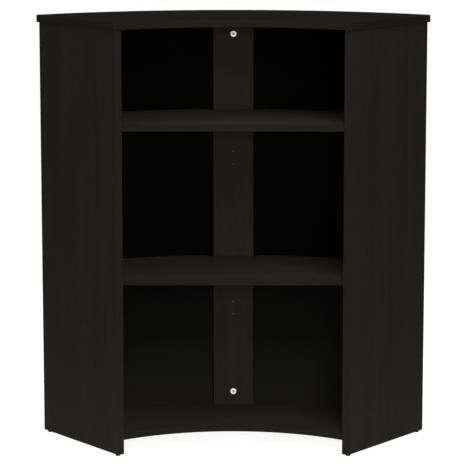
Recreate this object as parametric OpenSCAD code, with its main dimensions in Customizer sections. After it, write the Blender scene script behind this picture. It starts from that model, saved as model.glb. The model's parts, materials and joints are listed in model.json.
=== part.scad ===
// Curved corner display counter: an open-backed unit on a quarter-ring plan.
// The open, concave side faces -Y; a curved sheet closes the convex side.
// Origin: centre of the bounding box, on the floor. Millimetres, +Z up.

/* [Overall] */
// Height from the floor to the top surface
total_h = 1048; // [900:1:1200]
// Angle between the two side panels
sector_angle = 75; // [60:0.5:90]
// Radius, from the plan's centre, of the side panels' near edges
panel_r_near = 432; // [400:1:470]
// Depth of a side panel, measured along its face
panel_depth = 327; // [300:1:360]

/* [Boards] */
// Thickness of every board
board_t = 18; // [16:0.5:19]
// Thickness of the edge banding
band_t = 1; // [0.8:0.1:2]
// How far the top stands past the panels, all round
top_overhang = 5; // [2:0.5:15]
// Radius of the bottom board's near edge
bottom_r_near = 444.5; // [435:0.5:480]
// Height of the bottom board's underside above the floor
bottom_z = 36; // [20:1:80]

/* [Curved sheet] */
// Radius of the sheet's inner face
sheet_r = 677; // [665:1:700]
// Thickness of the sheet
sheet_t = 4; // [3:0.5:6]
// How far the sheet runs into the panel grooves
sheet_tongue = 7; // [4:0.5:8]

/* [Post] */
// Width of the centre post
post_w = 100; // [80:1:120]

/* [Shelves] */
// Top surface of the upper shelf
upper_shelf_z = 807; // [790:1:820]
// Top surface of the lower shelf
lower_shelf_z = 437; // [420:1:450]
// Distance of the shelves' front edge behind the panels' inner near corners
shelf_setback = 5; // [2:1:40]
// Gap between a loose shelf and what surrounds it
shelf_gap = 1; // [0.8:0.1:2]
// Depth of the 45 degree flanks of the notch round the post
notch_flank = 20; // [12:1:24]
// Half width of the notch floor
notch_half = 57; // [55:0.5:65]

/* [Fittings] */
// Distance of a cam lock's centre from the joint it pulls together
cam_reach = 34; // [34:0.5:36]
// Diameter of the cam lock housings
cam_bore_d = 15; // [15:0.1:16]
// Depth of the cam lock housings
cam_bore_depth = 13.5; // [13.5:0.1:14]
// Diameter of the wooden dowels
dowel_d = 8; // [6:0.5:8]
// Length of the wooden dowels
dowel_l = 28; // [24:1:30]
// Diameter of the shelf pins
pin_d = 5; // [4:0.5:5]
// Radius, from the plan's centre, of the front row of shelf pins
pin_r_front = 480; // [470:1:500]
// Radius, from the plan's centre, of the rear row of shelf pins
pin_r_rear = 630; // [600:1:640]

/* [Feet] */
// Diameter of a foot glide
foot_d = 12; // [10:0.5:16]
// Height of a foot glide below the panel
foot_h = 5; // [4:0.5:10]
// Distance of the foot glides from the panels' near and far edges
foot_inset = 14; // [10:1:30]

/* [Hidden] */
$fn = 48;
ARC = 360;                                 // facets of the large plan arcs
ha = sector_angle / 2;                     // half of the plan angle
panel_r_far = panel_r_near + panel_depth;
top_r_near = panel_r_near - top_overhang;
top_r_far = panel_r_far + top_overhang;
top_off = board_t + top_overhang;          // side edge of the top, from the radial line
top_z = total_h - board_t;                 // underside of the top
near_y = sqrt(top_r_near * top_r_near - top_off * top_off) * cos(ha) - top_off * sin(ha);
yc = (near_y + top_r_far) / 2;             // plan centre lies at y = -yc
bottom_top = bottom_z + board_t;
shelf_y = panel_r_near * cos(ha) + shelf_setback;
shelf_r = sheet_r - shelf_gap;
post_back = sqrt(sheet_r * sheet_r - post_w * post_w / 4) - 0.1;
post_front = post_back - board_t;
notch_y = post_front - shelf_gap;
mid = board_t / 2;
pin_drop = pin_d / 2 + 0.3;                // pin axis below a shelf's underside
upper_pin_z = upper_shelf_z - board_t - pin_drop;
lower_pin_z = lower_shelf_z - board_t - pin_drop;
pin_rows = [upper_pin_z, upper_pin_z - 84, upper_pin_z - 116,
            lower_pin_z, lower_pin_z - 96, lower_pin_z - 128];
cam_z = top_z - cam_reach;                 // cams that hold the top
cam_rows = [482, 627];                     // radii of the panel cams
base_rows = [500, 627];                    // radii of the bottom board's cams
dowel_rows = [545, 720];                   // radii of the dowels into the top
base_dowels = [560, 655];                  // radii of the dowels into the bottom
foot_rows = [panel_r_near + foot_inset, panel_r_far - foot_inset];

// ---- plan helpers -------------------------------------------------------
// plan wedge between the radial lines, each moved outwards by off
module wedge(off) {
  L = 2200;
  polygon([[0, -off / sin(ha)],
           [ off * cos(ha) + L * sin(ha), -off * sin(ha) + L * cos(ha)],
           [-off * cos(ha) - L * sin(ha), -off * sin(ha) + L * cos(ha)]]);
}
module ring_sector(r0, r1, off) {
  intersection() {
    difference() { circle(r1, $fn = ARC); circle(r0, $fn = ARC); }
    wedge(off);
  }
}
// moves children from the plan's centre to the unit's own frame
module plan() { translate([0, -yc, 0]) children(); }
// frame of a side panel: x = 0 is its inner face, y runs along the panel
module right_frame() { plan() rotate([0, 0, -ha]) children(); }
module left_frame() { plan() rotate([0, 0, ha]) children(); }

// ---- fittings, in the frame of a housing ---------------------------------
// z = 0 is the board face, the bolt arrives along +x on the board's middle
module cam_lock() {
  r = cam_bore_d / 2 - 0.05;
  difference() {
    union() {
      translate([0, 0, -4.6]) cylinder(r = r, h = 4.5);
      difference() {
        translate([0, 0, -13]) cylinder(r = r, h = 8.5);
        translate([0, 0, -13.5]) cylinder(r = 5, h = 8.9);
        // way in for the bolt's head
        translate([0, 0, -13.5]) linear_extrude(8.9) fan(127, 213, 12);
        // slot that lets the bolt's neck pass as the cam turns
        translate([0, 0, -mid - 2.5]) linear_extrude(5) fan(170, 385, 12);
      }
    }
    // cross recess for a screwdriver
    for (a = [45, 135]) rotate([0, 0, a])
      translate([-4, -0.85, -2.5]) cube([8, 1.7, 3]);
    translate([0, 0, -3.2]) cylinder(r = 2.1, h = 4);
    // direction mark
    translate([5.4, 0, -0.5]) cylinder(r = 1.1, h = 1, $fn = 3);
  }
}
module fan(a0, a1, r) {
  n = 8;
  polygon(concat([[0, 0]], [for (i = [0:n]) let (a = a0 + (a1 - a0) * i / n) [r * cos(a), r * sin(a)]]));
}
module cam_housing() {
  translate([0, 0, -cam_bore_depth]) cylinder(d = cam_bore_d, h = cam_bore_depth + 1);
  translate([0, 0, -mid]) rotate([0, 90, 0]) cylinder(d = 8, h = cam_reach + 1);
}
module bolt_hole() {
  translate([cam_reach - 0.5, 0, -mid]) rotate([0, 90, 0]) cylinder(d = 6, h = 12.5);
}
module cam_bolt() {
  translate([0, 0, -mid]) rotate([0, 90, 0]) rotate_extrude()
    polygon([[0, -2.2], [2.5, -2.2], [3.3, -1.4], [3.3, 2.4], [2.6, 3.2], [1.9, 3.2],
             [1.9, 9], [3, 9.6], [3, cam_reach - 3], [3.9, cam_reach - 3],
             [3.9, cam_reach], [2.95, cam_reach], [2.95, cam_reach + 10],
             [1.9, cam_reach + 11], [0, cam_reach + 11]]);
}
// places a housing's frame: 0-1 post, 2-5 panels, 6-9 bottom board
module seat(i) {
  if (i == 0) plan() translate([0, post_front, cam_z]) rotate([90, 0, 0]) rotate([0, 0, 90]) children();
  if (i == 1) plan() translate([0, post_front, bottom_top + cam_reach]) rotate([90, 0, 0]) rotate([0, 0, -90]) children();
  if (i == 2 || i == 3) left_frame() translate([0, cam_rows[i - 2], cam_z]) rotate([0, 90, 0]) rotate([0, 0, 180]) children();
  if (i == 4 || i == 5) right_frame() translate([0, cam_rows[i - 4], cam_z]) rotate([0, -90, 0]) children();
  if (i == 6 || i == 7) left_frame() translate([cam_reach, base_rows[i - 6], bottom_z]) rotate([180, 0, 0]) rotate([0, 0, 180]) children();
  if (i == 8 || i == 9) right_frame() translate([-cam_reach, base_rows[i - 8], bottom_z]) rotate([180, 0, 0]) children();
}

// ---- dowels ---------------------------------------------------------------
// upright dowel across a joint at height z, deep end downwards when up = 1
module upright_dowel(z, up, d, extra) {
  a = up > 0 ? -(dowel_l - 11) : -11;
  translate([0, 0, z + a - extra]) cylinder(d = d, h = dowel_l + 2 * extra);
}
module top_dowels(d, extra) {
  for (r = dowel_rows) {
    right_frame() translate([mid, r, 0]) upright_dowel(top_z, 1, d, extra);
    left_frame() translate([-mid, r, 0]) upright_dowel(top_z, 1, d, extra);
  }
  for (x = [-32, 32]) plan() translate([x, post_front + mid, 0]) upright_dowel(top_z, 1, d, extra);
}
module post_foot_dowels(d, extra) {
  for (x = [-32, 32]) plan() translate([x, post_front + mid, 0]) upright_dowel(bottom_top, 0, d, extra);
}
module base_end_dowels(d, extra) {
  for (r = base_dowels) {
    right_frame() translate([-(dowel_l - 11) - extra, r, bottom_z + mid]) rotate([0, 90, 0]) cylinder(d = d, h = dowel_l + 2 * extra);
    left_frame() translate([dowel_l - 11 + extra, r, bottom_z + mid]) rotate([0, -90, 0]) cylinder(d = d, h = dowel_l + 2 * extra);
  }
}

// ---- shelf pins -------------------------------------------------------------
// axis +z out of the board face
module shelf_pin() {
  rotate_extrude()
    polygon([[0, -8], [pin_d / 2 - 0.5, -8], [pin_d / 2 - 0.02, -7.5], [pin_d / 2 - 0.02, 0],
             [3.4, 0], [3.4, 0.6], [pin_d / 2, 0.6], [pin_d / 2, 8.2],
             [pin_d / 2 - 0.8, 9], [0, 9]]);
}
module pin_set(z) {
  for (r = [pin_r_front, pin_r_rear]) {
    right_frame() translate([0, r, z]) rotate([0, -90, 0]) shelf_pin();
    left_frame() translate([0, r, z]) rotate([0, 90, 0]) shelf_pin();
  }
  plan() translate([0, post_front, z]) rotate([90, 0, 0]) shelf_pin();
}

// ---- boards -----------------------------------------------------------------
module top_board() color([0.125, 0.12, 0.112]) {
  difference() {
    plan() translate([0, 0, top_z]) linear_extrude(board_t)
      ring_sector(top_r_near + band_t, top_r_far - band_t, top_off - band_t);
    // arc groove for the curved sheet
    plan() translate([0, 0, top_z - 1]) linear_extrude(7)
      ring_sector(sheet_r - 0.1, sheet_r + sheet_t + 0.2, sheet_tongue + 1);
    for (i = [0, 2, 3, 4, 5]) seat(i) bolt_hole();
    top_dowels(dowel_d, 0.5);
  }
}
module top_edge_band() color([0.135, 0.13, 0.12]) {
  plan() translate([0, 0, top_z]) linear_extrude(board_t) difference() {
    ring_sector(top_r_near, top_r_far, top_off);
    ring_sector(top_r_near + band_t, top_r_far - band_t, top_off - band_t);
  }
}
module bottom_board() color([0.12, 0.115, 0.108]) {
  difference() {
    plan() translate([0, 0, bottom_z]) linear_extrude(board_t)
      ring_sector(bottom_r_near + band_t, sheet_r, 0);
    for (i = [6:9]) seat(i) cam_housing();
    seat(1) bolt_hole();
    post_foot_dowels(dowel_d, 0.5);
    base_end_dowels(dowel_d, 0.5);
  }
}
module bottom_edge_band() color([0.135, 0.13, 0.12]) {
  plan() translate([0, 0, bottom_z]) linear_extrude(board_t)
    ring_sector(bottom_r_near, bottom_r_near + band_t, 0);
}
// a side panel in its own frame; s = 1 right, -1 left
module panel_blank(s) {
  translate([s > 0 ? 0 : -board_t, panel_r_near + band_t, foot_h])
    cube([board_t, panel_depth - 2 * band_t, top_z - foot_h]);
}
module panel_cuts(s) {
  for (r = [pin_r_front, pin_r_rear]) for (z = pin_rows)
    translate([0, r, z]) rotate([0, s > 0 ? 90 : -90, 0]) translate([0, 0, -1]) cylinder(d = pin_d, h = 10.5);
  for (r = foot_rows) translate([s * mid, r, foot_h - 1]) cylinder(d = 6, h = 13);
}
module sheet_groove() {
  plan() translate([0, 0, foot_h - 1]) linear_extrude(top_z - foot_h + 2)
    ring_sector(sheet_r - 0.1, sheet_r + sheet_t + 0.2, sheet_tongue + 1);
}
module left_side_panel() color([0.122, 0.12, 0.112]) {
  difference() {
    left_frame() panel_blank(-1);
    left_frame() panel_cuts(-1);
    sheet_groove();
    for (i = [2, 3]) seat(i) cam_housing();
    for (i = [6, 7]) seat(i) bolt_hole();
    top_dowels(dowel_d, 0.5);
    base_end_dowels(dowel_d, 0.5);
  }
}
module right_side_panel() color([0.128, 0.12, 0.112]) {
  difference() {
    right_frame() panel_blank(1);
    right_frame() panel_cuts(1);
    sheet_groove();
    for (i = [4, 5]) seat(i) cam_housing();
    for (i = [8, 9]) seat(i) bolt_hole();
    top_dowels(dowel_d, 0.5);
    base_end_dowels(dowel_d, 0.5);
  }
}
module panel_bands(s) {
  for (r = [panel_r_near, panel_r_far - band_t])
    translate([s > 0 ? 0 : -board_t, r, foot_h]) cube([board_t, band_t, top_z - foot_h]);
}
module left_panel_edge_bands() color([0.135, 0.13, 0.12]) left_frame() panel_bands(-1);
module right_panel_edge_bands() color([0.135, 0.13, 0.12]) right_frame() panel_bands(1);

module centre_post() color([0.118, 0.113, 0.106]) {
  difference() {
    plan() translate([-post_w / 2 + band_t, post_front, bottom_top])
      cube([post_w - 2 * band_t, board_t, top_z - bottom_top]);
    for (i = [0, 1]) seat(i) cam_housing();
    for (z = pin_rows) plan() translate([0, post_front - 1, z]) rotate([-90, 0, 0]) cylinder(d = pin_d, h = 10.5);
    top_dowels(dowel_d, 0.5);
    post_foot_dowels(dowel_d, 0.5);
  }
}
module post_edge_bands() color([0.135, 0.13, 0.12]) {
  for (x = [-post_w / 2, post_w / 2 - band_t]) plan() translate([x, post_front, bottom_top])
    cube([band_t, board_t, top_z - bottom_top]);
}
module curved_front_sheet() color([0.03, 0.03, 0.03]) {
  plan() translate([0, 0, foot_h + 3]) linear_extrude(top_z + 5.5 - foot_h - 3)
    ring_sector(sheet_r, sheet_r + sheet_t, sheet_tongue);
}

// plan of a loose shelf, straight in front, notched round the post
module shelf_plan() {
  difference() {
    intersection() {
      circle(shelf_r, $fn = ARC);
      wedge(-shelf_gap);
      translate([-600, shelf_y + band_t]) square([1200, 800]);
    }
    polygon([[-notch_half, notch_y], [notch_half, notch_y],
             [notch_half + notch_flank + 20, notch_y + notch_flank + 20],
             [-notch_half - notch_flank - 20, notch_y + notch_flank + 20]]);
  }
}
module shelf_band_plan() {
  intersection() {
    wedge(-shelf_gap);
    translate([-600, shelf_y]) square([1200, band_t]);
  }
}
module shelf_at(z) { plan() translate([0, 0, z - board_t]) linear_extrude(board_t) children(); }
module upper_shelf() color([0.11, 0.106, 0.1]) shelf_at(upper_shelf_z) shelf_plan();
module upper_shelf_edge_band() color([0.14, 0.135, 0.125]) shelf_at(upper_shelf_z) shelf_band_plan();
module lower_shelf() color([0.11, 0.106, 0.1]) shelf_at(lower_shelf_z) shelf_plan();
module lower_shelf_edge_band() color([0.14, 0.135, 0.125]) shelf_at(lower_shelf_z) shelf_band_plan();
module upper_shelf_pins() color("silver") pin_set(upper_pin_z);
module lower_shelf_pins() color("silver") pin_set(lower_pin_z);

// ---- cam locks ----------------------------------------------------------------
module post_cam_top() color([0.9, 0.9, 0.88]) seat(0) cam_lock();
module post_cam_bottom() color([0.9, 0.9, 0.88]) seat(1) cam_lock();
module left_panel_cam_near() color([0.9, 0.9, 0.88]) seat(2) cam_lock();
module left_panel_cam_far() color([0.9, 0.9, 0.88]) seat(3) cam_lock();
module right_panel_cam_near() color([0.9, 0.9, 0.88]) seat(4) cam_lock();
module right_panel_cam_far() color([0.9, 0.9, 0.88]) seat(5) cam_lock();
module left_base_cam_near() color([0.9, 0.9, 0.88]) seat(6) cam_lock();
module left_base_cam_far() color([0.9, 0.9, 0.88]) seat(7) cam_lock();
module right_base_cam_near() color([0.9, 0.9, 0.88]) seat(8) cam_lock();
module right_base_cam_far() color([0.9, 0.9, 0.88]) seat(9) cam_lock();
module cam_bolts() color("silver") for (i = [0:9]) seat(i) cam_bolt();
module wooden_dowels() color("burlywood") {
  top_dowels(dowel_d - 0.1, 0);
  post_foot_dowels(dowel_d - 0.1, 0);
  base_end_dowels(dowel_d - 0.1, 0);
}
module foot_glides() color([0.06, 0.06, 0.06]) {
  for (r = foot_rows) {
    right_frame() translate([mid, r, 0]) foot_glide();
    left_frame() translate([-mid, r, 0]) foot_glide();
  }
}
module foot_glide() {
  rotate_extrude()
    polygon([[0, 0], [foot_d / 2 - 1.6, 0], [foot_d / 2 - 0.6, 0.6], [foot_d / 2, 1.8],
             [foot_d / 2, foot_h], [2.95, foot_h], [2.95, foot_h + 9.5],
             [2.2, foot_h + 11], [0, foot_h + 11]]);
}

top_board();
top_edge_band();
bottom_board();
bottom_edge_band();
left_side_panel();
right_side_panel();
left_panel_edge_bands();
right_panel_edge_bands();
centre_post();
post_edge_bands();
curved_front_sheet();
upper_shelf();
upper_shelf_edge_band();
lower_shelf();
lower_shelf_edge_band();
upper_shelf_pins();
lower_shelf_pins();
post_cam_top();
post_cam_bottom();
left_panel_cam_near();
left_panel_cam_far();
right_panel_cam_near();
right_panel_cam_far();
left_base_cam_near();
left_base_cam_far();
right_base_cam_near();
right_base_cam_far();
cam_bolts();
wooden_dowels();
foot_glides();
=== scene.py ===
import bpy, bmesh, json, math
from mathutils import Matrix, Vector


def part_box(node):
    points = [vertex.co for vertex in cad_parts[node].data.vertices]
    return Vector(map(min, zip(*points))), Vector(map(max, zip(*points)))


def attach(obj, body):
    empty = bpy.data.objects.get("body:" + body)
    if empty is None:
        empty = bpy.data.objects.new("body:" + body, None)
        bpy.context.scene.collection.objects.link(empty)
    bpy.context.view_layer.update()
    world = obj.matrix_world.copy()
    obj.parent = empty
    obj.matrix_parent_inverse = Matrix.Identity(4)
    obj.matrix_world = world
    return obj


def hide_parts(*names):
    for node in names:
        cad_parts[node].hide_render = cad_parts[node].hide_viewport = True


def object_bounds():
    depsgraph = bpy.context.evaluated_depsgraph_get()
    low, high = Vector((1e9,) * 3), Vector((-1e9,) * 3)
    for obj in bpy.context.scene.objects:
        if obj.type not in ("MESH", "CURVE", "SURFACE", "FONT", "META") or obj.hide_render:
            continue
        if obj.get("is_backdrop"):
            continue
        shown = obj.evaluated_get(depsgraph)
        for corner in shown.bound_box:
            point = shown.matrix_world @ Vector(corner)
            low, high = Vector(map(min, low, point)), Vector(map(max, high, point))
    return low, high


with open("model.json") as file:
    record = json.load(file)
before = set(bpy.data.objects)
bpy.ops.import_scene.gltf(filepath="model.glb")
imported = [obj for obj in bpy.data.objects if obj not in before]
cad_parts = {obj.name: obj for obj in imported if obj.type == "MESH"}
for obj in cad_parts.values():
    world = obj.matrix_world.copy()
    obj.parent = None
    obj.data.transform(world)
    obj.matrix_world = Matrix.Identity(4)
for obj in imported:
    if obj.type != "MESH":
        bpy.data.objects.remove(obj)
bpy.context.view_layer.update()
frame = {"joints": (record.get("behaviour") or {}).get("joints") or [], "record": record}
REC = frame["record"]
JOINTS = {j["name"]: j for j in frame["joints"]}
SC = bpy.context.scene

# ------------------------------------------------------------------ plan, read back from the frame
MM = 0.001
HA = math.radians(37.5)
S, C = math.sin(HA), math.cos(HA)
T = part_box("top_board")[1].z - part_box("top_board")[0].z          # board thickness
TOP_Z0, TOP_Z1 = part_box("top_board")[0].z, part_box("top_board")[1].z
BOT_Z0, BOT_Z1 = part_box("bottom_board")[0].z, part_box("bottom_board")[1].z
PAN_Z0, PAN_Z1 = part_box("left_side_panel")[0].z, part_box("left_side_panel")[1].z
R_TOP_FAR = 0.764
YC = R_TOP_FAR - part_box("top_edge_band")[1].y                     # plan centre lies at y = -YC
BAND = 0.001
OV = 0.005
R_PN, R_PF = 0.432, 0.759                                         # panel, near and far edge radii
R_TN = R_PN - OV
R_BN = 0.4445
R_SH, T_SH = 0.677, 0.004
POST_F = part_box("centre_post")[0].y + YC                          # front face of the post, from the plan centre
POST_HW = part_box("post_edge_bands")[1].x
SHELF_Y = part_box("upper_shelf_edge_band")[0].y + YC


def F(x, yp, z):
    """A point of the plan, yp counted from the plan's centre."""
    return Vector((x, yp - YC, z))


def side_frame(s):
    """Matrix of a side panel's frame: x out of the unit, y along the panel, z up. s is 1 right, -1 left."""
    return Matrix(((s * C, s * S, 0, 0), (-S, C, 0, -YC), (0, 0, 1, 0), (0, 0, 0, 1)))


# ------------------------------------------------------------------ mesh helpers
def obj_from_bm(bm, name, mats=()):
    me = bpy.data.meshes.new(name)
    bm.normal_update()
    bm.to_mesh(me)
    bm.free()
    ob = bpy.data.objects.new(name, me)
    SC.collection.objects.link(ob)
    for m in mats:
        me.materials.append(m)
    return ob


def prism(rows, z0, z1, closed=False):
    """A slab between two polylines, rows = [(inner, outer), ...] in plan, from z0 to z1."""
    bm = bmesh.new()
    cols = []
    for a, b in rows:
        cols.append([bm.verts.new(F(a[0], a[1], z0)), bm.verts.new(F(b[0], b[1], z0)),
                     bm.verts.new(F(b[0], b[1], z1)), bm.verts.new(F(a[0], a[1], z1))])
    n = len(cols)
    rng = range(n) if closed else range(n - 1)
    for i in rng:
        p, q = cols[i], cols[(i + 1) % n]
        for k in range(4):
            bm.faces.new((p[k], p[(k + 1) % 4], q[(k + 1) % 4], q[k]))
    if not closed:
        bm.faces.new(cols[0][::-1])
        bm.faces.new(cols[-1])
    bmesh.ops.recalc_face_normals(bm, faces=bm.faces)
    return bm


def box_bm(lo, hi, m=None, cuts=0, axis=2):
    bm = bmesh.new()
    x0, y0, z0 = lo
    x1, y1, z1 = hi
    v = [bm.verts.new(p) for p in ((x0, y0, z0), (x1, y0, z0), (x1, y1, z0), (x0, y1, z0),
                                   (x0, y0, z1), (x1, y0, z1), (x1, y1, z1), (x0, y1, z1))]
    for f in ((0, 3, 2, 1), (4, 5, 6, 7), (0, 1, 5, 4), (1, 2, 6, 5), (2, 3, 7, 6), (3, 0, 4, 7)):
        bm.faces.new([v[i] for i in f])
    if m is not None:
        bm.transform(m)
    bmesh.ops.recalc_face_normals(bm, faces=bm.faces)
    return bm


def round_edges(bm, width, segments=3, keep=None, angle=30):
    """Rounds every edge sharper than angle that keep(midpoint, edge) accepts."""
    bm.normal_update()
    bm.edges.ensure_lookup_table()
    lim = math.radians(angle)
    es = [e for e in bm.edges if len(e.link_faces) == 2 and e.calc_face_angle(0) > lim
          and (keep is None or keep((e.verts[0].co + e.verts[1].co) / 2, e))]
    if es:
        bmesh.ops.bevel(bm, geom=es, offset=width, offset_type="OFFSET", segments=segments,
                        profile=0.5, affect="EDGES", clamp_overlap=True)
    return bm


def lathe(profile, n=48, closed_ends=True):
    """Turns [(r, z), ...] about z; a profile that starts and ends at r = 0 is a closed solid."""
    bm = bmesh.new()
    rings = []
    for r, z in profile:
        if r < 1e-9:
            rings.append([bm.verts.new((0, 0, z))])
        else:
            rings.append([bm.verts.new((r * math.cos(2 * math.pi * i / n), r * math.sin(2 * math.pi * i / n), z)) for i in range(n)])
    for a, b in zip(rings, rings[1:]):
        if len(a) == 1 and len(b) == 1:
            continue
        for i in range(n):
            j = (i + 1) % n
            if len(a) == 1:
                bm.faces.new((a[0], b[j], b[i]))
            elif len(b) == 1:
                bm.faces.new((a[i], a[j], b[0]))
            else:
                bm.faces.new((a[i], a[j], b[j], b[i]))
    bmesh.ops.recalc_face_normals(bm, faces=bm.faces)
    return bm


def joined(parts):
    """One bmesh out of several [(bm, matrix)], each of them freed."""
    out = bmesh.new()
    for bm, m in parts:
        if m is not None:
            bm.transform(m)
            if m.determinant() < 0:
                bmesh.ops.reverse_faces(bm, faces=bm.faces)
        me = bpy.data.meshes.new("tmp")
        bm.to_mesh(me)
        bm.free()
        out.from_mesh(me)
        bpy.data.meshes.remove(me)
    return out


def cut(ob, bm, mat):
    """Exact boolean difference; the cut's walls take mat."""
    cutter = obj_from_bm(bm, "cutter", [mat])
    mod = ob.modifiers.new("cut", "BOOLEAN")
    mod.operation = "DIFFERENCE"
    mod.solver = "EXACT"
    mod.material_mode = "TRANSFER"
    mod.object = cutter
    bpy.context.view_layer.update()
    dg = bpy.context.evaluated_depsgraph_get()
    me = bpy.data.meshes.new_from_object(ob.evaluated_get(dg), preserve_all_data_layers=True, depsgraph=dg)
    ob.modifiers.clear()
    old = ob.data
    ob.data = me
    bpy.data.meshes.remove(old)
    bpy.data.objects.remove(cutter)
    return ob


def shade(ob, angle=35):
    """Smooth shading with flat faces kept flat: sharp edges above angle, normals weighted by face area."""
    me = ob.data
    bm = bmesh.new()
    bm.from_mesh(me)
    bmesh.ops.remove_doubles(bm, verts=bm.verts, dist=1e-7)
    bmesh.ops.dissolve_degenerate(bm, edges=bm.edges, dist=1e-7)
    wires = [e for e in bm.edges if not e.link_faces]
    if wires:
        bmesh.ops.delete(bm, geom=wires, context="EDGES")
    lim = math.radians(angle)
    for f in bm.faces:
        f.smooth = True
    for e in bm.edges:
        e.smooth = not (len(e.link_faces) != 2 or e.calc_face_angle(0) > lim)
    bm.to_mesh(me)
    bm.free()
    mod = ob.modifiers.new("weighted", "WEIGHTED_NORMAL")
    mod.mode = "FACE_AREA"
    mod.weight = 50
    mod.keep_sharp = True
    bpy.context.view_layer.update()
    dg = bpy.context.evaluated_depsgraph_get()
    new = bpy.data.meshes.new_from_object(ob.evaluated_get(dg), preserve_all_data_layers=True, depsgraph=dg)
    ob.modifiers.clear()
    ob.data = new
    new.name = ob.name
    bpy.data.meshes.remove(me)
    return ob


def done(ob, body, node, angle=35):
    shade(ob, angle)
    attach(ob, body)
    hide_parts(node)
    return ob


# ------------------------------------------------------------------ material helpers
def new_mat(name):
    m = bpy.data.materials.new(name)
    m.use_nodes = True
    nt = m.node_tree
    nt.nodes.clear()
    out = nt.nodes.new("ShaderNodeOutputMaterial")
    b = nt.nodes.new("ShaderNodeBsdfPrincipled")
    nt.links.new(b.outputs[0], out.inputs[0])
    return m, nt, b


def nd(nt, kind, **kw):
    n = nt.nodes.new(kind)
    for k, v in kw.items():
        if k in n.inputs:
            n.inputs[k].default_value = v
        else:
            setattr(n, k, v)
    return n


def coords(nt, rot=(0, 0, 0), scale=(1, 1, 1), loc=(0, 0, 0)):
    tc = nt.nodes.new("ShaderNodeTexCoord")
    r = nt.nodes.new("ShaderNodeMapping")
    r.vector_type = "POINT"
    r.inputs["Rotation"].default_value = rot
    nt.links.new(tc.outputs["Object"], r.inputs["Vector"])
    s = nt.nodes.new("ShaderNodeMapping")
    s.inputs["Scale"].default_value = scale
    s.inputs["Location"].default_value = loc
    nt.links.new(r.outputs[0], s.inputs["Vector"])
    return s.outputs[0]


def ramp(nt, src, stops):
    r = nt.nodes.new("ShaderNodeValToRGB")
    el = r.color_ramp.elements
    while len(el) > 1:
        el.remove(el[-1])
    for i, (p, c) in enumerate(stops):
        e = el[0] if i == 0 else el.new(p)
        e.position = p
        e.color = (c, c, c, 1) if not hasattr(c, "__len__") else (*c, 1)
    nt.links.new(src, r.inputs[0])
    return r.outputs[0]


def mixc(nt, fac, a, b, mode="MIX"):
    m = nt.nodes.new("ShaderNodeMix")
    m.data_type = "RGBA"
    m.blend_type = mode
    for sock, v in ((m.inputs[0], fac), (m.inputs[6], a), (m.inputs[7], b)):
        if hasattr(v, "is_output"):
            nt.links.new(v, sock)
        elif hasattr(v, "__len__"):
            sock.default_value = (*v, 1) if len(v) == 3 else v
        else:
            sock.default_value = v
    return m.outputs[2]


def math_n(nt, op, a, b=None):
    m = nt.nodes.new("ShaderNodeMath")
    m.operation = op
    for i, v in enumerate((a, b)):
        if v is None:
            continue
        if hasattr(v, "is_output"):
            nt.links.new(v, m.inputs[i])
        else:
            m.inputs[i].default_value = v
    return m.outputs[0]


def noise(nt, vec, scale, detail=3, rough=0.55, dist=0.0):
    n = nt.nodes.new("ShaderNodeTexNoise")
    n.inputs["Scale"].default_value = scale
    n.inputs["Detail"].default_value = detail
    n.inputs["Roughness"].default_value = rough
    n.inputs["Distortion"].default_value = dist
    nt.links.new(vec, n.inputs["Vector"])
    return n.outputs["Fac"]


def bump(nt, b, height, dist, strength=1.0, prev=None):
    n = nt.nodes.new("ShaderNodeBump")
    n.inputs["Strength"].default_value = strength
    n.inputs["Distance"].default_value = dist
    nt.links.new(height, n.inputs["Height"])
    if prev is not None:
        nt.links.new(prev, n.inputs["Normal"])
    nt.links.new(n.outputs[0], b.inputs["Normal"])
    return n.outputs[0]


BASE = (0.0118, 0.0111, 0.0096)      # black-brown melamine


def laminate(name, rot, along, painted_light_scale=1.0, rough=0.58, spec=0.05, seed=0.0):
    """Melamine with a pressed wood grain. rot turns the board's frame to the axes; along is the grain's axis."""
    m, nt, b = new_mat(name)
    def stretched(a, c):
        sc = [c, c, c]
        sc[along] = a
        return coords(nt, rot, tuple(sc), (seed, seed * 1.7, seed * 0.6))
    broad = noise(nt, stretched(1.3, 26), 1.0, 3, 0.6, 0.35)       # bands of heartwood, 40 mm and up
    fine = noise(nt, stretched(5.0, 330), 1.0, 5, 0.65, 0.15)      # fibres about 3 mm apart and finer
    pores = noise(nt, stretched(26.0, 1500), 1.0, 2, 0.5)          # open pores, under 1 mm wide
    pore_m = ramp(nt, pores, [(0.0, 1.0), (0.36, 1.0), (0.44, 0.0), (1.0, 0.0)])
    # Painted light and shade: the base colour is multiplied by a per-board factor, so one melamine comes as lighter and
    # darker copies, lighter on boards that lie in shade and darker on edges that face the lights.
    c0 = tuple(v * painted_light_scale for v in BASE)
    col = mixc(nt, ramp(nt, broad, [(0.3, 0.0), (0.7, 1.0)]), tuple(v * 0.91 for v in c0), tuple(v * 1.10 for v in c0))
    col = mixc(nt, ramp(nt, fine, [(0.35, 0.0), (0.65, 1.0)]), mixc(nt, 1.0, col, (0.90, 0.90, 0.90), "MULTIPLY"), col)
    col = mixc(nt, pore_m, col, mixc(nt, 1.0, col, (0.72, 0.70, 0.68), "MULTIPLY"))
    nt.links.new(col, b.inputs["Base Color"])
    smudge = noise(nt, coords(nt, (0, 0, 0), (7, 7, 7), (seed, 0, 0)), 1.0, 4, 0.6)
    rg = math_n(nt, "ADD", math_n(nt, "MULTIPLY", smudge, 0.10), rough - 0.05)
    rg = math_n(nt, "ADD", rg, math_n(nt, "MULTIPLY", pore_m, 0.12))
    nt.links.new(rg, b.inputs["Roughness"])
    b.inputs["Specular IOR Level"].default_value = spec
    h = math_n(nt, "SUBTRACT", math_n(nt, "MULTIPLY", fine, 0.5), math_n(nt, "MULTIPLY", pore_m, 1.0))
    bump(nt, b, h, 0.00006, 0.8)
    return m


# The factor handed on to laminate scales the banding's colour as painted light and shade.
def edging(name, rot, along, painted_light_scale=1.12, seed=3.0):
    return laminate(name, rot, along, painted_light_scale, 0.50, 0.06, seed)


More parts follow.
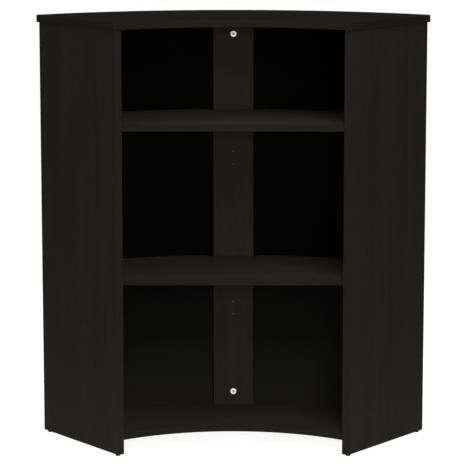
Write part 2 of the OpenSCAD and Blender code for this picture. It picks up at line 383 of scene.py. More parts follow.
def chipboard():
    m, nt, b = new_mat("raw_chipboard")
    v = coords(nt, (0, 0, 0), (1, 1, 1))
    a = noise(nt, v, 650, 4, 0.7, 0.6)
    g = noise(nt, v, 2200, 2, 0.6)
    # Painted shade in part: chipboard's own light brown, darkened to stand in for the shade in the pin holes and cut
    # walls where it shows.
    col = mixc(nt, ramp(nt, a, [(0.3, 0.0), (0.7, 1.0)]), (0.078, 0.055, 0.034), (0.18, 0.137, 0.09))
    col = mixc(nt, ramp(nt, g, [(0.35, 1.0), (0.45, 0.0)]), col, (0.07, 0.045, 0.025))
    nt.links.new(col, b.inputs["Base Color"])
    b.inputs["Roughness"].default_value = 0.95
    b.inputs["Specular IOR Level"].default_value = 0.1
    bump(nt, b, a, 0.0002, 0.8)
    return m


def sheet_mat(name, inner):
    """Satin black coated hardboard."""
    m, nt, b = new_mat(name)
    v = coords(nt)
    cloud = noise(nt, v, 5.0, 3, 0.5)
    peel = noise(nt, v, 420.0, 2, 0.5)
    dust = noise(nt, v, 1500.0, 1, 0.5)
    base = (0.0010, 0.0010, 0.0010) if inner else (0.0020, 0.0020, 0.0020)
    col = mixc(nt, ramp(nt, cloud, [(0.3, 0.0), (0.7, 1.0)]), tuple(x * 0.85 for x in base), tuple(x * 1.15 for x in base))
    col = mixc(nt, ramp(nt, dust, [(0.70, 0.0), (0.78, 0.35)]), col, (0.003, 0.003, 0.003))
    if inner:
        # Painted light: the inner face is painted up to eight times lighter near its bottom, fading out by about 0.4 m
        # up, standing in for light that reaches the lower part of the bays.
        sep = nt.nodes.new("ShaderNodeSeparateXYZ")
        nt.links.new(nt.nodes.new("ShaderNodeTexCoord").outputs["Object"], sep.inputs[0])
        low = math_n(nt, "ADD", sep.outputs["Z"], math_n(nt, "MULTIPLY", cloud, 0.05))
        col = mixc(nt, ramp(nt, low, [(0.075, 1.0), (0.16, 0.62), (0.25, 0.24), (0.40, 0.0)]), col, (0.0080, 0.0080, 0.0077))
    nt.links.new(col, b.inputs["Base Color"])
    nt.links.new(math_n(nt, "ADD", math_n(nt, "MULTIPLY", cloud, 0.08), 0.50 if inner else 0.30), b.inputs["Roughness"])
    b.inputs["Specular IOR Level"].default_value = 0.10 if inner else 0.42
    bump(nt, b, peel, 0.00003, 0.6)
    return m


def zinc(name="die_cast_zinc"):
    m, nt, b = new_mat(name)
    v = coords(nt)
    a = noise(nt, v, 900, 4, 0.6)
    s = noise(nt, v, 160, 2, 0.5)
    col = mixc(nt, ramp(nt, a, [(0.3, 0.0), (0.7, 1.0)]), (0.90, 0.90, 0.89), (0.98, 0.98, 0.97))
    nt.links.new(col, b.inputs["Base Color"])
    b.inputs["Metallic"].default_value = 0.12
    nt.links.new(math_n(nt, "ADD", math_n(nt, "MULTIPLY", s, 0.2), 0.28), b.inputs["Roughness"])
    bump(nt, b, a, 0.00004, 0.5)
    return m


def zinc_recess_painted_shade():
    """The recess zinc, painted dark grey as the shade inside a driver recess, and rougher than the outer zinc."""
    m, nt, b = new_mat("die_cast_zinc_recess")
    a = noise(nt, coords(nt), 1100, 4, 0.6)
    col = mixc(nt, ramp(nt, a, [(0.3, 0.0), (0.7, 1.0)]), (0.10, 0.10, 0.10), (0.17, 0.17, 0.165))
    nt.links.new(col, b.inputs["Base Color"])
    b.inputs["Metallic"].default_value = 0.3
    nt.links.new(math_n(nt, "ADD", math_n(nt, "MULTIPLY", a, 0.2), 0.45), b.inputs["Roughness"])
    bump(nt, b, a, 0.00006, 0.6)
    return m


def steel(name, col0, rough):
    m, nt, b = new_mat(name)
    v = coords(nt)
    a = noise(nt, v, 700, 4, 0.65)
    st = noise(nt, coords(nt, (0, 0, 0), (300, 300, 4000)), 1.0, 2, 0.5)
    col = mixc(nt, ramp(nt, a, [(0.3, 0.0), (0.7, 1.0)]), tuple(c * 0.88 for c in col0), col0)
    nt.links.new(col, b.inputs["Base Color"])
    b.inputs["Metallic"].default_value = 1.0
    nt.links.new(math_n(nt, "ADD", math_n(nt, "MULTIPLY", st, 0.12), rough), b.inputs["Roughness"])
    bump(nt, b, st, 0.00001, 0.5)
    return m


def beech():
    m, nt, b = new_mat("bare_beech")
    v = coords(nt, (0, 0, 0), (260, 260, 30))
    a = noise(nt, v, 1.0, 4, 0.6, 0.4)
    p = noise(nt, coords(nt, (0, 0, 0), (1500, 1500, 160)), 1.0, 2, 0.5)
    col = mixc(nt, ramp(nt, a, [(0.3, 0.0), (0.7, 1.0)]), (0.52, 0.33, 0.18), (0.68, 0.47, 0.29))
    col = mixc(nt, ramp(nt, p, [(0.32, 1.0), (0.42, 0.0)]), col, (0.36, 0.21, 0.11))
    nt.links.new(col, b.inputs["Base Color"])
    b.inputs["Roughness"].default_value = 0.7
    bump(nt, b, p, 0.00005, 0.6)
    return m


def moulded_black():
    m, nt, b = new_mat("moulded_black")
    v = coords(nt)
    a = noise(nt, v, 2600, 3, 0.6)
    s = noise(nt, v, 120, 3, 0.5)
    col = mixc(nt, ramp(nt, s, [(0.3, 0.0), (0.7, 1.0)]), (0.0075, 0.0075, 0.0078), (0.0115, 0.0115, 0.0115))
    nt.links.new(col, b.inputs["Base Color"])
    nt.links.new(math_n(nt, "ADD", math_n(nt, "MULTIPLY", s, 0.15), 0.42), b.inputs["Roughness"])
    b.inputs["Specular IOR Level"].default_value = 0.35
    bump(nt, b, a, 0.00005, 0.6)
    return m


M_CORE = chipboard()
R_ID = (0, 0, 0)
# The factor after the grain axis is painted light and shade: shelves, bottom board and post are painted up to 2.6 times
# lighter to make up for the shade inside the bays, and the top board and most edge bands are painted darker where the
# lights fall on them more.
# the mapping turns the right panel's face onto the YZ plane; left likewise
M_PAN_R = laminate("laminate_right_panel", (0, 0, HA), 2, 1.04, seed=1.3)
M_PAN_L = laminate("laminate_left_panel", (0, 0, -HA), 2, 1.0, seed=2.1)
M_TOP = laminate("laminate_top", R_ID, 0, 0.95, seed=4.4)
M_BOT = laminate("laminate_bottom", R_ID, 0, 2.08, seed=5.2)
M_SH_U = laminate("laminate_upper_shelf", R_ID, 0, 2.58, seed=6.7)
M_SH_L = laminate("laminate_lower_shelf", R_ID, 0, 2.22, seed=7.9)
M_POST = laminate("laminate_post", R_ID, 2, 1.25, seed=8.3)
M_BAND_TOP = edging("banding_top", R_ID, 0, 0.80, 9.1)
M_BAND_H = edging("banding_shelves", R_ID, 0, 0.82, 9.7)
M_BAND_R = edging("banding_right", (0, 0, HA), 2, 0.92, 10.3)
M_BAND_L = edging("banding_left", (0, 0, -HA), 2, 0.98, 11.9)
M_BAND_P = edging("banding_post", R_ID, 2, 1.10, 12.2)
M_SHEET_IN = sheet_mat("sheet_inner_face", True)
M_SHEET_OUT = sheet_mat("sheet_outer_face", False)
M_ZINC = zinc()
M_ZINC_RECESS_SHADE = zinc_recess_painted_shade()
M_BOLT = steel("zinc_plated_steel", (0.72, 0.72, 0.70), 0.30)
M_PIN = steel("nickel_plated_steel", (0.76, 0.74, 0.70), 0.22)
M_BEECH = beech()
M_GLIDE = moulded_black()

# ------------------------------------------------------------------ plan curves
def arc_pts(r, a0, a1, n):
    return [(r * math.sin(a0 + (a1 - a0) * i / n), r * math.cos(a0 + (a1 - a0) * i / n)) for i in range(n + 1)]


def end_angle(r, off):
    return HA + math.asin(off / r)


def sector_rows(r0, r1, off, n=150):
    a, b = end_angle(r0, off), end_angle(r1, off)
    return list(zip(arc_pts(r0, -a, a, n), arc_pts(r1, -b, b, n)))


# ------------------------------------------------------------------ fittings' places, from the joints
def housing(name):
    """Matrix of a cam housing: z out of the board face, x towards the joint that the bolt pulls together."""
    j = JOINTS[name + "_turn"]
    o, z = Vector(j["pos_m"]), Vector(j["axis"]).normalized()
    if name.startswith("post_cam") or "panel_cam" in name:
        x = Vector((0, 0, -1 if name.endswith("bottom") else 1))
    else:
        x = Vector((C if name.startswith("right") else -C, -S, 0))
    y = z.cross(x)
    return Matrix(((x.x, y.x, z.x, o.x), (x.y, y.y, z.y, o.y), (x.z, y.z, z.z, o.z), (0, 0, 0, 1)))


CAMS = ["post_cam_top", "post_cam_bottom", "left_panel_cam_near", "left_panel_cam_far", "right_panel_cam_near",
        "right_panel_cam_far", "left_base_cam_near", "left_base_cam_far", "right_base_cam_near", "right_base_cam_far"]
REACH, MID = 0.034, T / 2
ROT_X = Matrix.Rotation(math.radians(90), 4, "Y")           # z axis onto +x


def cyl(r, h, n=56):
    return lathe([(0, 0), (r, 0), (r, h), (0, h)], n)


def housing_cut(names):
    big = [(cyl(0.0075, 0.0145, 72), housing(n) @ Matrix.Translation((0, 0, -0.0135))) for n in names]
    thin = [(cyl(0.004, REACH + 0.001, 40), housing(n) @ Matrix.Translation((0, 0, -MID)) @ ROT_X) for n in names]
    return joined(big), joined(thin)


def bolt_cut(names):
    return [(cyl(0.003, 0.0125, 32), housing(n) @ Matrix.Translation((REACH - 0.0005, 0, -MID)) @ ROT_X) for n in names]


DL, DR = 0.028, 0.004
def dowel_places():
    """[(matrix with z along the dowel, origin at one end, nodes it enters)]"""
    out = []
    for r in (0.545, 0.720):
        for s, n in ((1, "right_side_panel"), (-1, "left_side_panel")):
            p = side_frame(s) @ Vector((MID, r, TOP_Z0 - (DL - 0.011)))
            out.append((Matrix.Translation(p), ("top_board", n)))
    for x in (-0.032, 0.032):
        out.append((Matrix.Translation(F(x, POST_F + MID, TOP_Z0 - (DL - 0.011))), ("top_board", "centre_post")))
        out.append((Matrix.Translation(F(x, POST_F + MID, BOT_Z1 - 0.011)), ("bottom_board", "centre_post")))
    for r in (0.560, 0.655):
        for s, n in ((1, "right_side_panel"), (-1, "left_side_panel")):
            o = side_frame(s) @ Vector((-(DL - 0.011), r, BOT_Z0 + MID))
            z = Vector((s * C, -S, 0))
            x = Vector((0, 0, 1))
            y = z.cross(x)
            out.append((Matrix(((x.x, y.x, z.x, o.x), (x.y, y.y, z.y, o.y), (x.z, y.z, z.z, o.z), (0, 0, 0, 1))), ("bottom_board", n)))
    return out


DOWELS = dowel_places()


def dowel_cut(node):
    return [(cyl(DR, DL + 0.001, 40), m @ Matrix.Translation((0, 0, -0.0005))) for m, ns in DOWELS if node in ns]


UP_PIN = (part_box("upper_shelf_pins")[0].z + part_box("upper_shelf_pins")[1].z) / 2
LO_PIN = (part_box("lower_shelf_pins")[0].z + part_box("lower_shelf_pins")[1].z) / 2
PIN_ROWS = [UP_PIN, UP_PIN - 0.084, UP_PIN - 0.116, LO_PIN, LO_PIN - 0.096, LO_PIN - 0.128]
PIN_R = (0.480, 0.630)


def out_of(o, z, x=Vector((0, 0, 1))):
    y = z.cross(x)
    return Matrix(((x.x, y.x, z.x, o.x), (x.y, y.y, z.y, o.y), (x.z, y.z, z.z, o.z), (0, 0, 0, 1)))


def pin_places(z):
    out = []
    for s in (1, -1):
        for r in PIN_R:
            out.append(out_of(side_frame(s) @ Vector((0, r, z)), Vector((-s * C, S, 0))))
    out.append(out_of(F(0, POST_F, z), Vector((0, -1, 0))))
    return out


def pin_cut(zs, which):
    parts = []
    for z in zs:
        pl = pin_places(z)
        pl = {1: pl[0:2], -1: pl[2:4], 0: pl[4:5]}[which]
        parts += [(cyl(0.0025, 0.0105, 40), m @ Matrix.Translation((0, 0, -0.0095))) for m in pl]
    return parts


FOOT_R = (R_PN + 0.014, R_PF - 0.014)

# ------------------------------------------------------------------ boards
def seam(mid, e):
    return True


def make_top():
    bm = prism(sector_rows(R_TN + BAND, R_TOP_FAR - BAND, T + OV - BAND), TOP_Z0, TOP_Z1)
    round_edges(bm, 0.00008, 1)
    ob = obj_from_bm(bm, "top_board_detail", [M_TOP, M_CORE])
    cut(ob, prism(sector_rows(R_SH - 0.0001, R_SH + T_SH + 0.0002, 0.008, 150), TOP_Z0 - 0.001, TOP_Z0 + 0.006), M_CORE)
    cut(ob, joined(bolt_cut(["post_cam_top"] + CAMS[2:6]) + dowel_cut("top_board")), M_CORE)
    return done(ob, "carcass", "top_board")


def ring_band(name, r0, r1, off, z0, z1):
    """Closed ring of banding round a ring sector."""
    n = 150
    def loop(q0, q1, o):
        a0, a1 = end_angle(q0, o), end_angle(q1, o)
        side = 12
        pts = arc_pts(q1, -a1, a1, n)
        p, q = pts[-1], arc_pts(q0, a0, a0, 1)[0]
        pts += [(p[0] + (q[0] - p[0]) * i / side, p[1] + (q[1] - p[1]) * i / side) for i in range(1, side)]
        pts += arc_pts(q0, a0, -a0, n)
        p, q = pts[-1], arc_pts(q1, -a1, -a1, 1)[0]
        pts += [(p[0] + (q[0] - p[0]) * i / side, p[1] + (q[1] - p[1]) * i / side) for i in range(1, side)]
        return pts
    outer, inner = loop(r0, r1, off), loop(r0 + BAND, r1 - BAND, off - BAND)
    bm = prism(list(zip(inner, outer)), z0, z1, True)
    # only the outward edges are rounded
    outer_set = set((round(F(x, y, 0).x, 6), round(F(x, y, 0).y, 6)) for x, y in outer)
    def keep(mid, e):
        return all((round(v.co.x, 6), round(v.co.y, 6)) in outer_set for v in e.verts)
    round_edges(bm, 0.0006, 3, keep)
    return bm


make_top()
ob = obj_from_bm(ring_band("x", R_TN, R_TOP_FAR, T + OV, TOP_Z0, TOP_Z1), "top_edge_band_detail", [M_BAND_TOP])
done(ob, "carcass", "top_edge_band")


def make_bottom():
    bm = prism(sector_rows(R_BN + BAND, R_SH, 0.0), BOT_Z0, BOT_Z1)
    round_edges(bm, 0.0001, 1)
    ob = obj_from_bm(bm, "bottom_board_detail", [M_BOT, M_CORE])
    big, thin = housing_cut(CAMS[6:10])
    cut(ob, big, M_CORE)
    cut(ob, thin, M_CORE)
    cut(ob, joined(bolt_cut(["post_cam_bottom"]) + dowel_cut("bottom_board")), M_CORE)
    return done(ob, "carcass", "bottom_board")


make_bottom()
bm = prism(sector_rows(R_BN, R_BN + BAND, 0.0), BOT_Z0, BOT_Z1)
round_edges(bm, 0.0006, 3, lambda m, e: all((Vector((v.co.x, v.co.y + YC)).length < R_BN + 0.0003) for v in e.verts) and abs(e.verts[0].co.z - e.verts[1].co.z) < 1e-6)
done(obj_from_bm(bm, "bottom_edge_band_detail", [M_BAND_H]), "carcass", "bottom_edge_band")


def make_panel(s, name, mat, band, band_name):
    fr = side_frame(s)
    bm = box_bm((0, R_PN + BAND, PAN_Z0), (T, R_PF - BAND, PAN_Z1))
    bm.transform(fr)
    bmesh.ops.recalc_face_normals(bm, faces=bm.faces)
    round_edges(bm, 0.00012, 1)
    ob = obj_from_bm(bm, name + "_detail", [mat, M_CORE])
    sheet_groove = prism(sector_rows(R_SH - 0.0001, R_SH + T_SH + 0.0002, 0.008, 60), PAN_Z0 - 0.001, PAN_Z1 + 0.001)
    cut(ob, sheet_groove, M_CORE)
    pc = CAMS[4:6] if s > 0 else CAMS[2:4]
    bc = CAMS[8:10] if s > 0 else CAMS[6:8]
    big, thin = housing_cut(pc)
    cut(ob, big, M_CORE)
    cut(ob, thin, M_CORE)
    feet = [(cyl(0.003, 0.013, 32), Matrix.Translation(fr @ Vector((MID, r, PAN_Z0 - 0.001)))) for r in FOOT_R]
    cut(ob, joined(bolt_cut(bc) + dowel_cut(name) + pin_cut(PIN_ROWS, s) + feet), M_CORE)
    done(ob, "carcass", name)
    parts = []
    for r0, r1, outer_at in ((R_PN, R_PN + BAND, R_PN), (R_PF - BAND, R_PF, R_PF)):
        b = box_bm((0, r0, PAN_Z0), (T, r1, PAN_Z1))
        round_edges(b, 0.0006, 3, lambda m, e, q=outer_at: all(abs(v.co.y - q) < 1e-6 for v in e.verts))
        b.transform(fr)
        b.normal_update()
        if b.calc_volume(signed=True) < 0:
            bmesh.ops.reverse_faces(b, faces=b.faces)
        parts.append((b, None))
    ob = obj_from_bm(joined(parts), band_name + "_detail", [band])
    done(ob, "carcass", band_name)


make_panel(-1, "left_side_panel", M_PAN_L, M_BAND_L, "left_panel_edge_bands")
make_panel(1, "right_side_panel", M_PAN_R, M_BAND_R, "right_panel_edge_bands")


def make_post():
    y0 = POST_F
    bm = box_bm(F(-POST_HW + BAND, y0, BOT_Z1), F(POST_HW - BAND, y0 + T, TOP_Z0))
    round_edges(bm, 0.0001, 1)
    for z in PIN_ROWS:
        bmesh.ops.bisect_plane(bm, geom=bm.verts[:] + bm.edges[:] + bm.faces[:], plane_co=(0, 0, z + 0.00033), plane_no=(0, 0, 1))
    ob = obj_from_bm(bm, "centre_post_detail", [M_POST, M_CORE])
    big, thin = housing_cut(CAMS[0:2])
    cut(ob, big, M_CORE)
    cut(ob, thin, M_CORE)
    cut(ob, joined(pin_cut(PIN_ROWS, 0) + dowel_cut("centre_post")), M_CORE)
    done(ob, "carcass", "centre_post")
    parts = []
    for x0, x1, q in ((-POST_HW, -POST_HW + BAND, -POST_HW), (POST_HW - BAND, POST_HW, POST_HW)):
        b = box_bm(F(x0, y0, BOT_Z1), F(x1, y0 + T, TOP_Z0))
        round_edges(b, 0.0006, 3, lambda m, e, q=q: all(abs(v.co.x - q) < 1e-6 for v in e.verts) and abs(e.verts[0].co.z - e.verts[1].co.z) > 0.1)
        parts.append((b, None))
    done(obj_from_bm(joined(parts), "post_edge_bands_detail", [M_BAND_P]), "carcass", "post_edge_bands")


make_post()


def make_shelf(which, mat, body):
    lo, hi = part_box(which)
    z0, z1 = lo.z, hi.z
    gap = 0.001
    rb = R_SH - gap
    notch_y, half, fl = POST_F - gap, 0.057, 0.020
    yf = SHELF_Y + BAND
    hw = (yf * S - gap) / C                                    # front half width on the side line
    ab = end_angle(rb, -gap)
    n = 150
    back = arc_pts(rb, -ab, ab, n)
    rows = [((-hw + 2 * hw * i / n, yf), back[i]) for i in range(n + 1)]
    bm = prism(rows, z0, z1)
    ob = obj_from_bm(bm, which + "_detail", [mat])
    e = fl + 0.02
    k = bmesh.new()
    pts = [(-half, notch_y), (half, notch_y), (half + e, notch_y + e), (-half - e, notch_y + e)]
    lo_v = [k.verts.new(F(x, y, z0 - 0.01)) for x, y in pts]
    hi_v = [k.verts.new(F(x, y, z1 + 0.01)) for x, y in pts]
    k.faces.new(lo_v[::-1])
    k.faces.new(hi_v)
    for i in range(4):
        j = (i + 1) % 4
        k.faces.new((lo_v[i], lo_v[j], hi_v[j], hi_v[i]))
    bmesh.ops.recalc_face_normals(k, faces=k.faces)
    cut(ob, k, mat)
    b = bmesh.new()
    b.from_mesh(ob.data)
    bmesh.ops.remove_doubles(b, verts=b.verts, dist=1e-6)
    fy = yf - YC
    round_edges(b, 0.0003, 2, lambda m, ed: not all(abs(v.co.y - fy) < 1e-6 for v in ed.verts))
    b.to_mesh(ob.data)
    b.free()
    done(ob, body, which)
    # banding along the straight front
    hw0 = (SHELF_Y * S - gap) / C
    b = prism([((-hw0, SHELF_Y), (-hw, yf)), ((hw0, SHELF_Y), (hw, yf))], z0, z1)
    q = SHELF_Y - YC
    round_edges(b, 0.0006, 3, lambda m, ed: all(abs(v.co.y - q) < 1e-6 for v in ed.verts))
    done(obj_from_bm(b, which + "_edge_band_detail", [M_BAND_H]), body, which + "_edge_band")


make_shelf("upper_shelf", M_SH_U, "upper_shelf")
make_shelf("lower_shelf", M_SH_L, "lower_shelf")

# ------------------------------------------------------------------ curved sheet
lo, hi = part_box("curved_front_sheet")
bm = prism(sector_rows(R_SH, R_SH + T_SH, 0.007, 220), lo.z, hi.z)
round_edges(bm, 0.0003, 2)
for f in bm.faces:
    c = f.calc_center_median()
    f.material_index = 0 if Vector((c.x, c.y + YC)).length < R_SH + T_SH / 2 else 1
done(obj_from_bm(bm, "curved_front_sheet_detail", [M_SHEET_IN, M_SHEET_OUT]), "carcass", "curved_front_sheet")

# ------------------------------------------------------------------ cam locks
def wedge_bm(a0, a1, r, z0, z1, n=24):
    bm = bmesh.new()
    ring = [(0, 0)] + [(r * math.cos(math.radians(a0 + (a1 - a0) * i / n)), r * math.sin(math.radians(a0 + (a1 - a0) * i / n))) for i in range(n + 1)]
    a = [bm.verts.new((x, y, z0)) for x, y in ring]
    b = [bm.verts.new((x, y, z1)) for x, y in ring]
    bm.faces.new(a[::-1])
    bm.faces.new(b)
    for i in range(len(ring)):
        j = (i + 1) % len(ring)
        bm.faces.new((a[i], a[j], b[j], b[i]))
    bmesh.ops.recalc_face_normals(bm, faces=bm.faces)
    return bm


def cam_mesh():
    r = 0.00745
    prof = [(0, -0.0046), (0.005, -0.0046), (0.005, -0.013), (r - 0.0003, -0.013), (r, -0.0127), (r, -0.0009)]
    prof += [(r - 0.0006 * (1 - math.cos(a)), -0.0009 + 0.0006 * math.sin(a)) for a in (0.4, 0.8, 1.2, math.pi / 2)]
    prof += [(r - 0.0011, -0.0003), (r - 0.0013, -0.0005), (r - 0.0017, -0.0005), (r - 0.0019, -0.0003), (r - 0.0022, -0.00012), (0, -0.00012)]
    ob = obj_from_bm(lathe(prof, 120), "cam_template", [M_ZINC, M_ZINC_RECESS_SHADE])
    cut(ob, wedge_bm(128.4, 211.6, 0.02, -0.02, -0.0046), M_ZINC)
    cut(ob, wedge_bm(171.4, 383.6, 0.02, -MID - 0.0025, -MID + 0.0025), M_ZINC)
    # cross recess: tapered blades with a round heart; their walls take the dark zinc painted as shade
    def blade(deg):
        b = box_bm((-0.0039, -0.0010, -0.0030), (0.0039, 0.0010, 0.0005))
        for v in b.verts:
            if v.co.z < -0.001:
                v.co.x *= 0.42
                v.co.y *= 0.8
        return b, Matrix.Rotation(math.radians(deg), 4, "Z")
    cut(ob, joined([blade(45)]), M_ZINC_RECESS_SHADE)
    cut(ob, joined([blade(135)]), M_ZINC_RECESS_SHADE)
    cut(ob, lathe([(0, -0.0034), (0.0013, -0.0031), (0.0024, -0.0004), (0.0027, 0.0004), (0, 0.0004)], 40), M_ZINC_RECESS_SHADE)
    for deg in (0, 90, 180, 270):                             # four faint wings of the recess
        b = box_bm((0.0019, -0.0002, -0.0006), (0.0034, 0.0002, 0.0005))
        cut(ob, joined([(b, Matrix.Rotation(math.radians(deg), 4, "Z"))]), M_ZINC)
    arrow = bmesh.new()
    pts = [(0.0052, 0), (0.0040, 0.00085), (0.0040, -0.00085)]
    pts = [(x + 0.0, y) for x, y in pts]
    a = [arrow.verts.new((x, y, -0.0004)) for x, y in pts]
    b = [arrow.verts.new((x, y, 0.0004)) for x, y in pts]
    arrow.faces.new(a[::-1]); arrow.faces.new(b)
    for i in range(3):
        arrow.faces.new((a[i], a[(i + 1) % 3], b[(i + 1) % 3], b[i]))
    bmesh.ops.recalc_face_normals(arrow, faces=arrow.faces)
    cut(ob, arrow, M_ZINC)
    return ob


template = cam_mesh()
for name in CAMS:
    me = template.data.copy()
    ob = bpy.data.objects.new(name + "_detail", me)
    SC.collection.objects.link(ob)
    me.transform(housing(name))
    done(ob, name, name, 40)
bpy.data.objects.remove(template)

# ------------------------------------------------------------------ cam bolts
def bolt_bm():
    """Turned bolt along +z from the cam's middle: ball head, neck, shank, collar and a coarse wood thread."""
    k = 1e-3
    prof = [(0, -2.2), (1.9, -2.2), (2.7, -2.05), (3.15, -1.6), (3.3, -1.0), (3.3, 1.6), (3.15, 2.3), (2.6, 2.95), (1.95, 3.2),
            (1.9, 3.6), (1.9, 8.9), (2.4, 9.3), (3.0, 9.8)]
    z = 9.8
    while z < 30.4:                                           # shank with three gripping rings
        z += 1.0
        prof.append((3.0 - (0.18 if 18 < z < 24 and int(z) % 2 == 0 else 0), z))
    prof += [(3.0, 31.0), (3.8, 31.1), (3.9, 31.3), (3.9, REACH * 1000)]
    n = 40
    bm = bmesh.new()
    rings = []
    def ring(r, z):
        if r < 1e-6:
            return [bm.verts.new((0, 0, z * k))]
        return [bm.verts.new((r * k * math.cos(2 * math.pi * i / n), r * k * math.sin(2 * math.pi * i / n), z * k)) for i in range(n)]
    for r, z in prof:
        rings.append(ring(r, z))
    z0, z1, pitch, steps = REACH * 1000, REACH * 1000 + 11.0, 2.2, 60
    rings.append([bm.verts.new((2.2 * k * math.cos(2 * math.pi * i / n), 2.2 * k * math.sin(2 * math.pi * i / n), z0 * k)) for i in range(n)])
    for s in range(1, steps):
        z = z0 + (z1 - z0) * s / steps
        fade = min(1.0, (z - z0) / 0.8, (z1 - z) / 1.6)
        row = []
        for i in range(n):
            ph = (z / pitch - i / n) % 1.0
            crest = max(0.0, 1 - abs(ph - 0.5) / 0.28)
            r = 2.15 - 0.25 * max(0.0, 1 - (z1 - z) / 2.0) + 0.78 * crest * max(0.0, fade)
            row.append(bm.verts.new((r * k * math.cos(2 * math.pi * i / n), r * k * math.sin(2 * math.pi * i / n), z * k)))
        rings.append(row)
    rings.append(ring(0, z1))
    for a, b in zip(rings, rings[1:]):
        for i in range(n):
            j = (i + 1) % n
            if len(a) == 1:
                bm.faces.new((a[0], b[j], b[i]))
            elif len(b) == 1:
                bm.faces.new((a[i], a[j], b[0]))
            else:
                bm.faces.new((a[i], a[j], b[j], b[i]))
    bmesh.ops.recalc_face_normals(bm, faces=bm.faces)
    return bm


ob = obj_from_bm(joined([(bolt_bm(), housing(n) @ Matrix.Translation((0, 0, -MID)) @ ROT_X) for n in CAMS]), "cam_bolts_detail", [M_BOLT])
done(ob, "carcass", "cam_bolts", 50)

# ------------------------------------------------------------------ dowels
def dowel_bm():
    n, flutes = 96, 16
    bm = bmesh.new()
    rings = [[bm.verts.new((0, 0, 0))]]
    L = DL
    stations = [(0.0032, 0.0, 0), (0.0036, 0.0005, 0.3), (0.0039, 0.0014, 1)] + [(0.0039, 0.0014 + (L - 0.0028) * i / 8, 1) for i in range(1, 8)]
    stations += [(0.0039, L - 0.0014, 1), (0.0036, L - 0.0005, 0.3), (0.0032, L, 0)]
    for r, z, f in stations:
        rings.append([bm.verts.new(((r - 0.00022 * f * (0.5 - 0.5 * math.cos(flutes * 2 * math.pi * i / n))) * math.cos(2 * math.pi * i / n),
                                    (r - 0.00022 * f * (0.5 - 0.5 * math.cos(flutes * 2 * math.pi * i / n))) * math.sin(2 * math.pi * i / n), z)) for i in range(n)])
    rings.append([bm.verts.new((0, 0, L))])
    for a, b in zip(rings, rings[1:]):
        for i in range(n):
            j = (i + 1) % n
            if len(a) == 1:
                bm.faces.new((a[0], b[j], b[i]))
            elif len(b) == 1:
                bm.faces.new((a[i], a[j], b[0]))
            else:
                bm.faces.new((a[i], a[j], b[j], b[i]))
    bmesh.ops.recalc_face_normals(bm, faces=bm.faces)
    return bm


done(obj_from_bm(joined([(dowel_bm(), m) for m, _ in DOWELS]), "wooden_dowels_detail", [M_BEECH]), "carcass", "wooden_dowels", 60)

# ------------------------------------------------------------------ shelf pins
def pin_bm():
    p = [(0, -8.0), (1.7, -8.0), (2.2, -7.8), (2.45, -7.3)]
    z = -7.0
    while z < -0.9:
        p += [(2.48, z), (2.40, z + 0.3), (2.40, z + 0.5)]
        z += 0.8
    p += [(2.48, -0.3), (2.48, 0.0), (3.2, 0.0), (3.4, 0.1), (3.4, 0.45), (3.3, 0.6), (2.7, 0.6), (2.5, 0.75), (2.5, 7.6),
          (2.42, 8.1), (2.2, 8.55), (1.8, 8.85), (1.2, 9.0), (0, 9.0)]
    return lathe([(r * MM, z * MM) for r, z in p], 56)


for node, z in (("upper_shelf_pins", UP_PIN), ("lower_shelf_pins", LO_PIN)):
    done(obj_from_bm(joined([(pin_bm(), m) for m in pin_places(z)]), node + "_detail", [M_PIN]), "carcass", node, 40)

# ------------------------------------------------------------------ foot glides
def glide_bm():
    h = PAN_Z0 * 1000
    p = [(0, 0.25), (2.6, 0.25), (3.2, 0.0), (4.4, 0.0), (5.0, 0.18), (5.45, 0.6), (5.8, 1.2), (6.0, 1.9), (6.0, h - 1.1), (5.85, h - 0.95),
         (5.85, h - 0.7), (6.0, h - 0.55), (6.0, h - 0.1), (5.9, h), (2.95, h), (2.95, h + 2.0), (2.75, h + 2.2), (2.95, h + 3.6), (2.75, h + 3.8),
         (2.95, h + 5.4), (2.75, h + 5.6), (2.95, h + 7.2), (2.6, h + 9.0), (2.2, h + 10.8), (1.9, h + 11.0), (0, h + 11.0)]
    return lathe([(r * MM, z * MM) for r, z in p], 64)


feet = []
for s in (1, -1):
    for r in FOOT_R:
        feet.append((glide_bm(), Matrix.Translation(side_frame(s) @ Vector((MID, r, 0)))))
done(obj_from_bm(joined(feet), "foot_glides_detail", [M_GLIDE]), "carcass", "foot_glides", 40)

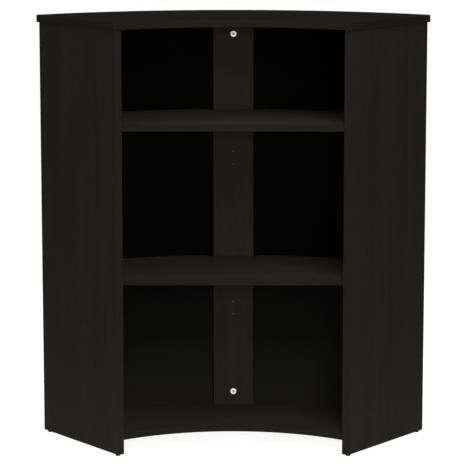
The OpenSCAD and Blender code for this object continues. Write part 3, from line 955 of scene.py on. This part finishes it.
# ------------------------------------------------------------------ studio
def floor():
    bm = bmesh.new()
    bmesh.ops.create_grid(bm, x_segments=8, y_segments=8, size=9.0)
    m, nt, b = new_mat("studio_floor")
    v = coords(nt)
    n = noise(nt, v, 3.0, 3, 0.5)
    nt.links.new(mixc(nt, n, (0.30, 0.30, 0.30), (0.34, 0.34, 0.34)), b.inputs["Base Color"])
    b.inputs["Roughness"].default_value = 0.85
    b.inputs["Specular IOR Level"].default_value = 0.0
    b.inputs["Emission Color"].default_value = (1, 1, 1, 1)
    geo = nt.nodes.new("ShaderNodeNewGeometry")
    ln = nt.nodes.new("ShaderNodeVectorMath"); ln.operation = "LENGTH"
    nt.links.new(geo.outputs["Position"], ln.inputs[0])
    dist = math_n(nt, "MULTIPLY", ln.outputs["Value"], 0.1)
    lp = nt.nodes.new("ShaderNodeLightPath")
    seen = ramp(nt, dist, [(0.05, 0.90), (0.13, 1.0)])
    lit = ramp(nt, dist, [(0.04, 0.40), (0.13, 0.10)])
    mxv = nt.nodes.new("ShaderNodeMix")
    nt.links.new(lp.outputs["Is Camera Ray"], mxv.inputs[0])
    nt.links.new(lit, mxv.inputs[2])
    nt.links.new(seen, mxv.inputs[3])
    nt.links.new(mxv.outputs[0], b.inputs["Emission Strength"])
    # fades out with distance from the object, so that no edge shows
    fac = ramp(nt, dist, [(0.075, 1.0), (0.24, 0.0)])
    fac = math_n(nt, "MULTIPLY", fac, math_n(nt, "SUBTRACT", 1.0, geo.outputs["Backfacing"]))
    tr = nt.nodes.new("ShaderNodeBsdfTransparent")
    mx = nt.nodes.new("ShaderNodeMixShader")
    out = [q for q in nt.nodes if q.type == "OUTPUT_MATERIAL"][0]
    nt.links.new(fac, mx.inputs[0])
    nt.links.new(tr.outputs[0], mx.inputs[1])
    nt.links.new(b.outputs[0], mx.inputs[2])
    nt.links.new(mx.outputs[0], out.inputs[0])
    ob = obj_from_bm(bm, "floor", [m])
    ob.location = (0, 0, 0)
    ob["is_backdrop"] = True
    return ob


floor()


def area(name, loc, target, size, power, size_y=None, color=(1, 1, 1)):
    ld = bpy.data.lights.new(name, "AREA")
    ld.shape = "RECTANGLE"
    ld.size = size
    ld.size_y = size_y or size
    ld.energy = power
    ld.color = color
    ob = bpy.data.objects.new(name, ld)
    SC.collection.objects.link(ob)
    ob.location = loc
    ob.rotation_mode = "QUATERNION"
    ob.rotation_quaternion = (Vector(target) - Vector(loc)).to_track_quat("-Z", "Y")
    ob.visible_camera = False
    return ob


area("front", (0.45, -4.7, 1.1), (0, 0, 0.55), 1.8, 203, 1.5, (1.0, 0.965, 0.89)).visible_glossy = False
area("front_high", (0.85, -2.9, 3.1), (0, 0.1, 0.5), 2.0, 96, None, (1.0, 0.96, 0.88)).visible_glossy = False
area("left", (-3.4, -1.2, 2.0), (-0.2, 0, 0.9), 2.2, 72).visible_glossy = False
area("right", (3.4, -1.2, 2.0), (0.2, 0, 0.9), 2.2, 19, None, (1.0, 0.93, 0.86)).visible_glossy = False
area("overhead", (0, 0.0, 3.6), (0, 0, 0), 3.6, 50).visible_glossy = False
area("rear_left", (-2.1, 3.3, 0.54), (0, 0.2, 0.54), 1.3, 40, 0.8)
area("rear_right", (2.1, 3.3, 0.54), (0, 0.2, 0.54), 1.3, 32, 0.8)
area("rear_fill", (0.4, 4.2, 1.9), (0, 0, 0.55), 2.4, 90).visible_glossy = False

world = bpy.data.worlds.new("studio")
SC.world = world
world.use_nodes = True
nt = world.node_tree
nt.nodes.clear()
wo = nt.nodes.new("ShaderNodeOutputWorld")
bg_cam = nd(nt, "ShaderNodeBackground", Color=(1, 1, 1, 1), Strength=1.0)
bg_env = nd(nt, "ShaderNodeBackground", Color=(1, 1, 1, 1), Strength=0.02)
lp = nt.nodes.new("ShaderNodeLightPath")
mx = nt.nodes.new("ShaderNodeMixShader")
nt.links.new(lp.outputs["Is Camera Ray"], mx.inputs[0])
nt.links.new(bg_env.outputs[0], mx.inputs[1])
nt.links.new(bg_cam.outputs[0], mx.inputs[2])
nt.links.new(mx.outputs[0], wo.inputs[0])

SC.view_settings.view_transform = "Standard"
SC.view_settings.look = "None"
SC.view_settings.exposure = 0.0
SC.view_settings.gamma = 1.0

# ------------------------------------------------------------------ camera
cam_d = bpy.data.cameras.new("camera")
cam = bpy.data.objects.new("camera", cam_d)
SC.collection.objects.link(cam)
cam_d.lens = 184.93
cam_d.sensor_width = 36.0
cam_d.clip_start, cam_d.clip_end = 0.1, 60
cam.location = (0.0204, -5.8644, 1.4714)
pitch, yaw = math.radians(-9.3088), math.radians(-0.1698)
d = Vector((math.sin(yaw) * math.cos(pitch), math.cos(yaw) * math.cos(pitch), math.sin(pitch)))
cam.rotation_mode = "QUATERNION"
cam.rotation_quaternion = d.to_track_quat("-Z", "Y")
SC.camera = cam

lo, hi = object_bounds()
